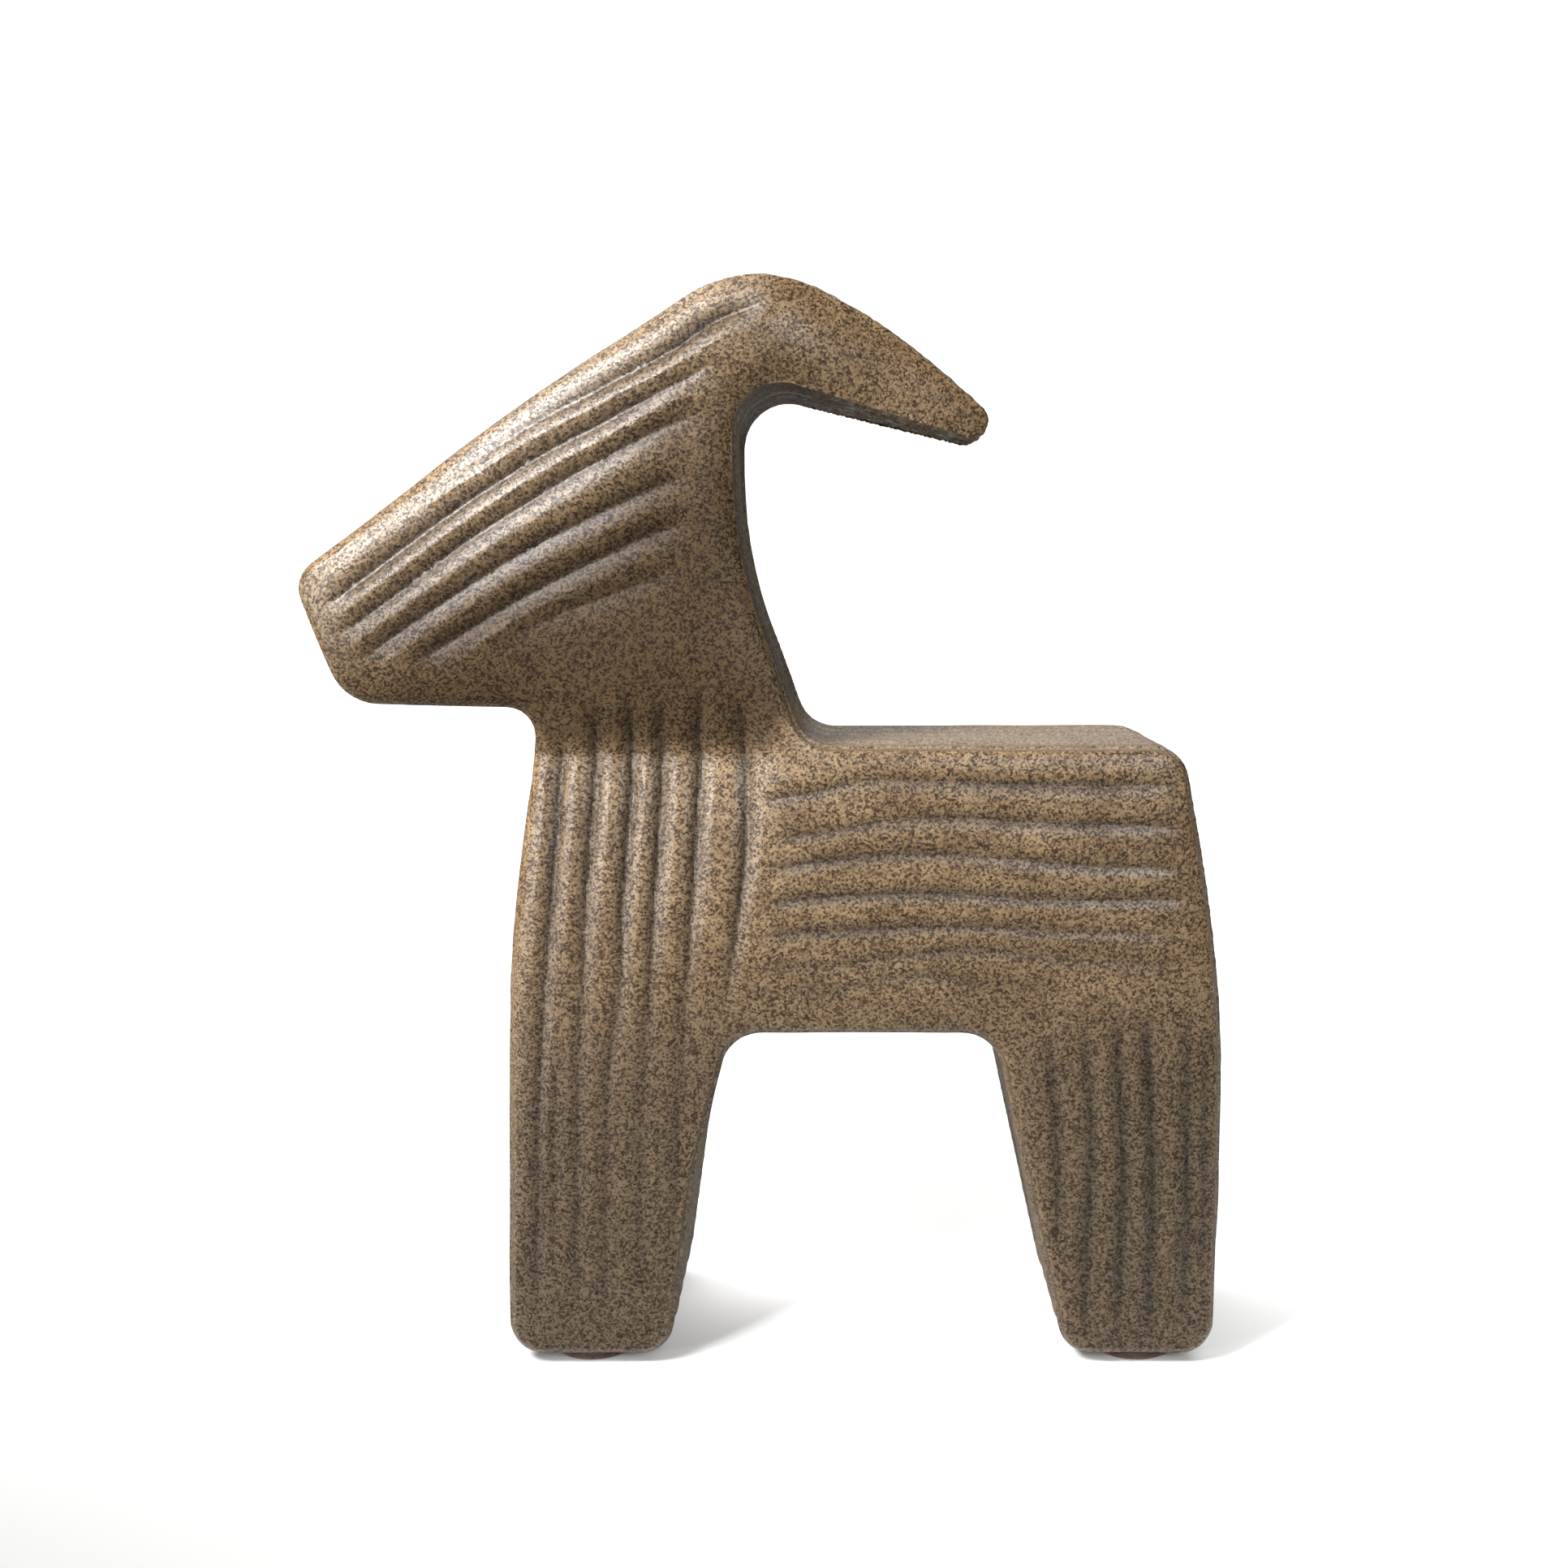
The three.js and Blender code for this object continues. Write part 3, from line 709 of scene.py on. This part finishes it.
def bump(tree, height, distance):
    """A surface normal from a height in metres."""
    sockets = {"Height": height, "Distance": distance, "Strength": 1.0}
    return Wire.node(tree, "ShaderNodeBump", sockets=sockets)


def finish_material(tree, sockets):
    shader = Wire.node(tree, "ShaderNodeBsdfPrincipled", sockets=sockets)
    tree.links.new(shader.socket, tree.nodes.new("ShaderNodeOutputMaterial").inputs["Surface"])


print("finish helpers ready")

# %% [markdown]
# The glaze is a satin stoneware glaze: taupe with cloudy paler patches, dark olive in the hollows
# and warm tan where it runs thin over an edge. From the jaw to the nape dark umber is painted in as
# shade, under the jaw, down the back of the head and over the top of the neck. Towards the bottom of
# the legs the glaze turns darker and greyer. The crests between the comb's tracks on the narrow
# faces get a pale grey, a painted highlight. Over all of it goes a salt-and-pepper grain of about
# half a millimetre, which tints the colour below it instead of covering it. The sheen is a coat over
# a dull body. The coat follows the light grains and thins out on the throat and on the narrow faces,
# so that the gloss looks grainy instead of like plastic and the dark places stay dark. One even
# roughness would be simpler, but it lays a grey veil over the whole goat. A share says how much of a
# colour shows where its place is surest, and a step says between which values one colour gives way
# to the next.

# %% The glaze
OLIVE = (0.016, 0.0095, 0.004)
TAUPE = (0.042, 0.0235, 0.0085)
PALE = (0.073, 0.046, 0.0205)
TAN = (0.15, 0.09, 0.038)
# painted shade: the dark umber of the throat stands in for the shade under the jaw and at the nape
PAINTED_SHADE_UMBER = (0.017, 0.0095, 0.0035)
GREY = (0.026, 0.0165, 0.008)
# painted highlight: a pale grey for the crests between the comb's tracks on the narrow faces
CREST_HIGHLIGHT = (0.09, 0.071, 0.05)
DARK_GRAIN = (0.25, 0.19, 0.12)
LIGHT_GRAIN = (1.95, 2.1, 2.4)
THROAT_SHADE_SHARE = 0.95
LEGS_SHARE = 0.9
EDGE_SHARE = 0.5
EDGE_LOST_ON_THROAT = 0.35
GROOVE_SHARE = 0.95
TRACK_SHARE = 0.9
CREST_HIGHLIGHT_SHARE = 0.8
CLOUDS_PER_METRE = 90.0
CLOUD_STEP = (0.3, 0.72)
SOFT_GRAINS_PER_METRE = 1500.0
HARD_GRAINS_PER_METRE = 2300.0
HARD_GRAIN_SHARE = 0.45
GRAIN_LOST_ON_NARROW_FACES = 0.8
GRAIN_STEP = (0.26, 0.74)
GRAIN_HEIGHT = 0.03 * MM
LEAST_ROUGH = 0.5
ROUGHER_ON_GRAINS = 0.14
COAT_ON_GRAINS = 1.2
COAT_HELD_BACK = 0.05
COAT_LOST_ON_THROAT = 0.9
COAT_LOST_ON_NARROW_FACES = 0.85
THROAT_REACH = 42 * MM
THROAT_BOTTOM = (130 * MM, 139 * MM)
THROAT_RISE_TO_NAPE = 1.6
THROAT_ENDS_AT_HORN = (-6 * MM, 8 * MM)
LEGS_END = (60 * MM, 95 * MM)


def glaze_zones(tree, place):
    """The throat up to the nape, painted dark as shade, and the legs, darker and greyer lower down."""
    x, y, z = vector_parts(tree, place)
    before_horn = 1 - past_seat(x, z).rise(*THROAT_ENDS_AT_HORN)
    above_fold = (z - x.math("MAXIMUM", 0.0) * THROAT_RISE_TO_NAPE).rise(*THROAT_BOTTOM)
    throat = below_forehead(x, z).rise(0.0, THROAT_REACH) * above_fold * before_horn
    return throat, 1 - z.rise(*LEGS_END)


def glaze_grains(tree, place, narrow_face):
    """Grains from 0 to 1, rubbed out on the narrow faces."""
    hard = cells_at(tree, place, HARD_GRAINS_PER_METRE)
    soft = noise_at(tree, place, SOFT_GRAINS_PER_METRE, roughness=0.6)
    chance = hard * HARD_GRAIN_SHARE + soft * (1 - HARD_GRAIN_SHARE)
    return (chance - 0.5) * (1 - narrow_face * GRAIN_LOST_ON_NARROW_FACES) + 0.5


def glaze_coat(grains, throat, narrow_face):
    """The weight of the coat: most on the light grains, least on the throat and the narrow faces."""
    on_grains = grains * COAT_ON_GRAINS - COAT_HELD_BACK
    off_throat = 1 - throat * COAT_LOST_ON_THROAT
    return on_grains * off_throat * (1 - narrow_face * COAT_LOST_ON_NARROW_FACES)


def glaze_material():
    material, tree = new_material("speckled_glaze")
    place = Wire.node(tree, "ShaderNodeTexCoord", output="Object")
    groove = attribute(tree, "comb")
    track = attribute(tree, "track")
    crest = attribute(tree, "crest")
    edge = attribute(tree, "edge")
    narrow_face = track + crest
    clouds = noise_at(tree, place, CLOUDS_PER_METRE, detail=3.0, roughness=0.6)
    grains = glaze_grains(tree, place, narrow_face)
    throat, legs = glaze_zones(tree, place)
    body = mixed(tree, clouds.rise(*CLOUD_STEP), TAUPE, PALE)
    # painted shade: umber under the jaw, down the back of the head and over the top of the neck
    throat_shaded = mixed(tree, throat * THROAT_SHADE_SHARE, body, PAINTED_SHADE_UMBER)
    zoned = mixed(tree, legs * LEGS_SHARE, throat_shaded, GREY)
    worn = mixed(tree, edge * (EDGE_SHARE - throat * EDGE_LOST_ON_THROAT), zoned, TAN)
    pool = (groove * GROOVE_SHARE + track * TRACK_SHARE).math("MINIMUM", 1.0)
    # painted highlight: the crests on the narrow faces are painted pale grey
    crest_highlighted = mixed(tree, crest * CREST_HIGHLIGHT_SHARE, mixed(tree, pool, worn, OLIVE), CREST_HIGHLIGHT)
    dark = tinted(tree, crest_highlighted, DARK_GRAIN)
    light = tinted(tree, crest_highlighted, LIGHT_GRAIN)
    finish_material(
        tree,
        {
            "Base Color": mixed(tree, grains.rise(*GRAIN_STEP), dark, light),
            "Roughness": LEAST_ROUGH + grains * ROUGHER_ON_GRAINS,
            "Specular IOR Level": 0.1,
            "Coat Weight": glaze_coat(grains, throat, narrow_face),
            "Coat Roughness": 0.4,
            "Normal": bump(tree, grains * GRAIN_HEIGHT, 1.0),
        },
    )
    return material


glaze = glaze_material()
print("glaze nodes:", len(glaze.node_tree.nodes))

# %% [markdown]
# Now the skin is combed: first the wall comb along the narrow faces, then the drawn strokes on the
# flanks. All sizes are named inputs of the trees, set by each socket's identifier before the object
# is first evaluated.

# %% Combing the skin
wall_sizes = {
    "Half depth": half_depth,
    "Pitch": 11 * MM,
    "Depth": 1.7 * MM,
    "Skin": 0.4 * MM,
    "Swell": 0.5 * MM,
    "Swell scale": 35.0,
    "Forehead fall": 2.2 * MM,
    "Forehead reach": 26 * MM,
    "Fold depth": 3 * MM,
    "Fold height": 133 * MM,
    "Fold above": 20 * MM,
    "Fold below": 32 * MM,
    "Seat blend": 16 * MM,
    "Horn length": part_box("horn")[1].x - SEAT_MIDDLE.x,
    "Horn taper": 0.6,
    "Sole height": 3 * MM,
}
comb_sizes = {
    "Half depth": half_depth,
    "Step": 0.5 * MM,
    "Wobble": 0.8 * MM,
    "Wobble scale": 45.0,
    "Fade": 9 * MM,
}
run_tree(skin, wall_tree(glaze), wall_sizes)
combing = combing_tree(glaze)
for area, (strokes, width, depth) in combed_areas.items():
    drawn = stroke_curves(area + "_strokes", strokes)
    run_tree(skin, combing, {**comb_sizes, "Strokes": drawn, "Width": width, "Depth": depth})
    bpy.data.objects.remove(drawn)
comb_values = np.empty(len(skin.data.vertices), np.float32)
skin.data.attributes["comb"].data.foreach_get("value", comb_values)
print("deepest stroke:", round(float(comb_values.max()), 2), "of full pressure")

# %% [markdown]
# The combed skin is cut up again into the pieces that the potter joined. Each CAD solid cuts its
# own piece: what of the skin lies inside the solid keeps the combed outside and gets the solid's
# flat joint faces, so that every piece is closed. A glaze hides the joints. So the comb marks and the
# shading normals are taken over from the whole skin: the new corners of a cut have no marks of their
# own, and each piece's own normals would show the joints as lines.

# %% The glazed pieces
JOINT_FACE_DOT = 0.6
COMB_MARKS = ("comb", "track", "crest", "edge")


def marks_tree(material):
    """Takes the marks of both combs over from the whole skin, also onto the new corners of a cut."""
    tree, given = new_tree("Comb marks", {"Skin": "NodeSocketObject"})
    whole = whole_object(tree, given["Skin"])
    marked = given["Geometry"]
    for name in COMB_MARKS:
        sockets = {"Mesh": whole, "Value": stored(tree, name)}
        nearest = Wire.node(tree, "GeometryNodeSampleNearestSurface", {"data_type": "FLOAT"}, sockets)
        marked = with_attribute(tree, marked, name, nearest)
    end_tree(tree, marked, material)
    return tree


def soft_normals(piece):
    """Shading normals of the whole skin on the outside, and flat ones on the joint faces."""
    transfer = piece.modifiers.new("normals", "DATA_TRANSFER")
    transfer.object = skin
    transfer.use_loop_data = True
    transfer.data_types_loops = {"CUSTOM_NORMAL"}
    transfer.loop_mapping = "POLYINTERP_NEAREST"
    bake_modifiers(piece)
    mesh = piece.data
    corner_count = len(mesh.loops)
    normals = np.empty(corner_count * 3, np.float32)
    mesh.corner_normals.foreach_get("vector", normals)
    normals = normals.reshape(-1, 3)
    faces = np.empty(len(mesh.polygons) * 3, np.float32)
    mesh.polygons.foreach_get("normal", faces)
    sizes = np.empty(len(mesh.polygons), np.int32)
    mesh.polygons.foreach_get("loop_total", sizes)
    flat = np.repeat(faces.reshape(-1, 3), sizes, axis=0)
    joint = (normals * flat).sum(axis=1) < JOINT_FACE_DOT
    normals[joint] = flat[joint]
    mesh.normals_split_custom_set(normals.tolist())


def glazed_piece(node):
    piece = bpy.data.objects.new("glazed_" + node, skin.data.copy())
    bpy.context.scene.collection.objects.link(piece)
    solid = as_object(node + "_cutter", merged(node))
    boolean(piece, "INTERSECT", solid)
    bpy.data.objects.remove(solid)
    piece.data.polygons.foreach_set("use_smooth", np.ones(len(piece.data.polygons), bool))
    run_tree(piece, marks, {"Skin": skin})
    soft_normals(piece)
    piece.data.materials.clear()
    piece.data.materials.append(glaze)
    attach(piece, "root")
    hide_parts(node)
    return piece


marks = marks_tree(glaze)
glazed = [glazed_piece(node) for node in clay_nodes]
bpy.data.objects.remove(skin)
for piece in glazed:
    print(piece.name, "faces:", len(piece.data.polygons))

# %% [markdown]
# Each foot stands on two felt pads. A pad is a disc of pressed wool, so its rim bulges a little under
# the weight. The disc is turned from a profile: rings of points round an upright axis, joined by
# faces. A cylinder with a bevel would be quicker, but its rim couldn't bulge.

# %% A disc of felt
PAD_SIDES = 64
RIM_STEPS = 6
RIM_BULGE = 0.35
FLAT_SHARE = 0.5


def turned_disc(name, centre, radius, thickness):
    """A disc with a bulging rim, turned round its upright axis."""
    bulge = RIM_BULGE * thickness
    steps = np.linspace(-math.pi / 2, math.pi / 2, RIM_STEPS + 1)
    rim = [(radius - bulge + bulge * math.cos(a), thickness / 2 * (1 + math.sin(a))) for a in steps]
    profile = [(FLAT_SHARE * radius, 0), *rim, (FLAT_SHARE * radius, thickness)]
    disc = bmesh.new()
    rings = []
    for reach, height in profile:
        ring = []
        for k in range(PAD_SIDES):
            turn = 2 * math.pi * k / PAD_SIDES
            place = (reach * math.cos(turn), reach * math.sin(turn), height)
            ring.append(disc.verts.new(centre + Vector(place)))
        rings.append(ring)
    for low, high in zip(rings, rings[1:]):
        for k in range(PAD_SIDES):
            after = (k + 1) % PAD_SIDES
            disc.faces.new((low[k], low[after], high[after], high[k]))
    disc.faces.new(rings[0][::-1])
    disc.faces.new(rings[-1])
    bmesh.ops.recalc_face_normals(disc, faces=disc.faces)
    return as_object(name, disc)


print("felt rim steps:", RIM_STEPS)

# %% [markdown]
# Loose fibres stand out of the cut edge of felt. Geometry Nodes scatter thin cones over the rim with
# a fixed seed, and leave the flat faces bare, because those touch the foot and the floor. Hair
# particles would look alike, but the export keeps only meshes.

# %% The felt pads
FIBRE_INPUTS = {
    "Fibre length": NUMBER,
    "Fibre radius": NUMBER,
    "Density": NUMBER,
    "Seed": "NodeSocketInt",
}
FIBRES_PER_AREA = 4.0e6
UPRIGHT_LIMIT = 0.5
WOOL_DARK = (0.035, 0.014, 0.008)
WOOL_LIGHT = (0.1, 0.045, 0.026)
WOOL_PER_METRE = 2600.0
TUFTS_PER_METRE = 500.0
TUFT_SHARE = 0.3
WOOL_STEP = (0.35, 0.65)
WOOL_HEIGHT = 0.2 * MM
LEAST_ROUGH_WOOL = 0.92


def fibre_tree(material):
    tree, given = new_tree("Felt fibres", FIBRE_INPUTS)
    normal = field(tree, "GeometryNodeInputNormal")
    upright = vector_parts(tree, normal)[2].math("ABSOLUTE")
    rim_only = upright.math("LESS_THAN", UPRIGHT_LIMIT)
    scatter = Wire.node(
        tree,
        "GeometryNodeDistributePointsOnFaces",
        {"distribute_method": "RANDOM"},
        {
            "Mesh": given["Geometry"],
            "Selection": rim_only,
            "Density": given["Density"],
            "Seed": given["Seed"],
        },
    )
    turns = Wire(scatter.socket.node.outputs["Rotation"])
    strand = Wire.node(
        tree,
        "GeometryNodeMeshCone",
        {"fill_type": "NONE"},
        {
            "Vertices": 3,
            "Radius Top": 0.0,
            "Radius Bottom": given["Fibre radius"],
            "Depth": given["Fibre length"],
        },
    )
    fibres = Wire.node(
        tree,
        "GeometryNodeInstanceOnPoints",
        sockets={"Points": scatter, "Instance": strand, "Rotation": turns},
    )
    both = Wire.node(
        tree, "GeometryNodeJoinGeometry", sockets={"Geometry": [given["Geometry"], fibres]}
    )
    end_tree(tree, both, material)
    return tree


def felt_material():
    material, tree = new_material("brown_felt")
    place = Wire.node(tree, "ShaderNodeTexCoord", output="Object")
    wool = noise_at(tree, place, WOOL_PER_METRE, detail=3.0, roughness=0.7)
    tufts = noise_at(tree, place, TUFTS_PER_METRE)
    both = wool * (1 - TUFT_SHARE) + tufts * TUFT_SHARE
    colour = mixed(tree, both.rise(*WOOL_STEP), WOOL_DARK, WOOL_LIGHT)
    finish_material(
        tree,
        {
            "Base Color": colour,
            "Roughness": LEAST_ROUGH_WOOL + wool * (1 - LEAST_ROUGH_WOOL),
            "Normal": bump(tree, wool * WOOL_HEIGHT, 1.0),
            "Sheen Weight": 0.4,
        },
    )
    return material


felt = felt_material()
fuzz = fibre_tree(felt)
fibre_sizes = {"Fibre length": 0.5 * MM, "Fibre radius": 0.02 * MM, "Density": FIBRES_PER_AREA}
for seed, node in enumerate(pad_nodes):
    low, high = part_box(node)
    middle = (low + high) / 2
    foot = Vector((middle.x, middle.y, low.z))
    pad = turned_disc("felt_" + node, foot, (high.x - low.x) / 2, high.z - low.z)
    run_tree(pad, fuzz, {**fibre_sizes, "Seed": seed})
    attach(pad, "root")
    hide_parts(node)
    print(pad.name, "faces:", len(pad.data.polygons))

# %% [markdown]
# The goat stands on a pale sweep: a floor that curves up into a backdrop, so that no horizon shows.
# It is only stage, not part of the goat.

# %% The pale sweep
SWEEP_WIDTH = 8.0
SWEEP_FRONT = -3.0
SWEEP_BACK = 1.6
SWEEP_RADIUS = 0.8
SWEEP_HEIGHT = 4.0
SWEEP_STEPS = 24
PAPER = (0.86, 0.86, 0.85)


def sweep_profile():
    yield SWEEP_FRONT, 0
    for k in range(SWEEP_STEPS + 1):
        turn = math.pi / 2 * k / SWEEP_STEPS
        yield SWEEP_BACK + SWEEP_RADIUS * math.sin(turn), SWEEP_RADIUS * (1 - math.cos(turn))
    yield SWEEP_BACK + SWEEP_RADIUS, SWEEP_HEIGHT


def pale_sweep():
    sheet = bmesh.new()
    edges = []
    for depth, height in sweep_profile():
        edges.append([sheet.verts.new((side * SWEEP_WIDTH / 2, depth, height)) for side in (-1, 1)])
    for near, far in zip(edges, edges[1:]):
        sheet.faces.new((near[0], near[1], far[1], far[0]))
    floor = as_object("floor", sheet)
    floor.data.polygons.foreach_set("use_smooth", np.ones(len(floor.data.polygons), bool))
    material, tree = new_material("pale_paper")
    finish_material(tree, {"Base Color": opaque(PAPER), "Roughness": 0.9})
    floor.data.materials.append(material)
    return floor


pale_sweep()
print("sweep made")

# %% [markdown]
# The light is soft studio light, all from small panels. The key at the upper left gives the head its
# satin sheen, a low panel far to the left lights the chest's edge, a third picks out the ribs of the
# chest, and a front panel at the right lifts the flank. A wide panel over the backdrop makes the
# paper white and outlines the narrow faces. A grid on a panel narrows its spread, which keeps its
# light on one part of the goat and off the pale floor, where it would come back as a grey veil.

# %% The lights
GOAT_MIDDLE = Vector((-0.02, -0.03, 0.13))
GOAT_HEAD = Vector((-0.038, -0.03, 0.192))
GOAT_FLANK = Vector((0.03, -0.03, 0.12))
GOAT_CHEST = Vector((-0.035, -0.03, 0.112))
BACKDROP_PLACE = Vector((0, 1.1, 1.7))
BACKDROP_TARGET = Vector((0, 1.4, 0.2))
ROOM_LIGHT = 0.05
NO_GRID = 180


def from_goat(left, up, distance):
    """A place at a distance from the goat, so many degrees left of the camera's side and up."""
    turn = math.radians(left)
    rise = math.radians(up)
    way = Vector((-math.sin(turn) * math.cos(rise), -math.cos(turn) * math.cos(rise), math.sin(rise)))
    return GOAT_MIDDLE + way * distance


def soft_panel(name, place, target, size, power, spread):
    """A panel light of a width and a height in metres, with its spread in degrees."""
    data = bpy.data.lights.new(name, "AREA")
    data.shape = "RECTANGLE"
    data.size, data.size_y = size
    data.energy = power
    data.spread = math.radians(spread)
    panel = bpy.data.objects.new(name, data)
    panel.location = place
    panel.rotation_euler = (target - place).to_track_quat("-Z", "Y").to_euler()
    bpy.context.scene.collection.objects.link(panel)


def dim_room():
    world = bpy.data.worlds.new("studio")
    bpy.context.scene.world = world
    world.use_nodes = True
    glow = world.node_tree.nodes["Background"]
    glow.inputs["Color"].default_value = (1, 1, 1, 1)
    glow.inputs["Strength"].default_value = ROOM_LIGHT


dim_room()
soft_panel("key", from_goat(45, 44, 0.45), GOAT_HEAD, size=(0.2, 0.2), power=0.64, spread=46)
soft_panel("front", from_goat(-25, 22, 0.9), GOAT_FLANK, size=(0.3, 0.3), power=0.45, spread=45)
soft_panel("left", from_goat(66, -6, 0.9), GOAT_CHEST, size=(0.3, 0.3), power=0.2, spread=24)
soft_panel("chest", from_goat(40, 11, 0.9), GOAT_CHEST, size=(0.2, 0.2), power=0.1, spread=15)
soft_panel("backdrop", BACKDROP_PLACE, BACKDROP_TARGET, size=(3, 1.4), power=76, spread=NO_GRID)
bpy.context.scene.view_settings.view_transform = "Standard"
print("lights:", ", ".join(light.name for light in bpy.data.lights))
